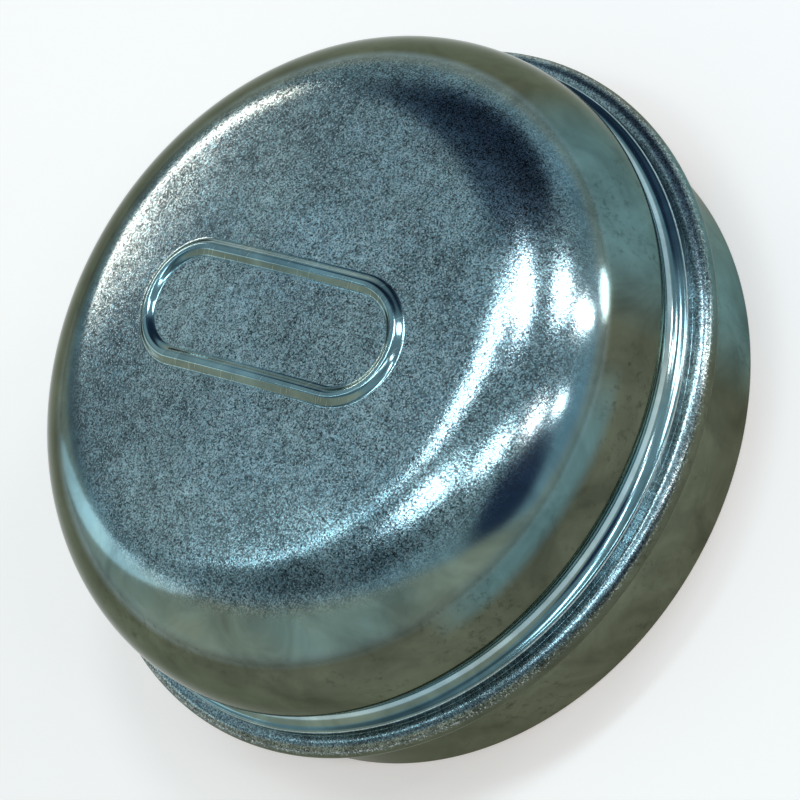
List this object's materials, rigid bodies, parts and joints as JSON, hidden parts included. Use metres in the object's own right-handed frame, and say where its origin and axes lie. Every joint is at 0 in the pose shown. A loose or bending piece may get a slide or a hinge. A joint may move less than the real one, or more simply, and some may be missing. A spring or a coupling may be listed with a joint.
{
  "type": "hub grease cap",
  "caption": "Pressed sheet-steel grease cap for a wheel hub: domed crown with a plain raised loop, folded stop bead and a press-in skirt.",
  "frame": {"origin": "centre of the open rim, in the plane that the cap stands on", "axes": "+Z along the cap's axis towards the crown, +X along the raised loop on the crown"},
  "size_m": [0.0665, 0.0664, 0.0298],
  "materials": {
    "zinc_plate": "bright zinc plate on pressed sheet steel: fine sparkling grain on the crown and the bead, smooth and mirror-like on the drawn wall and skirt"
  },
  "bodies": {
    "root": {"grease_cap": "zinc_plate"}
  },
  "joints": []
}
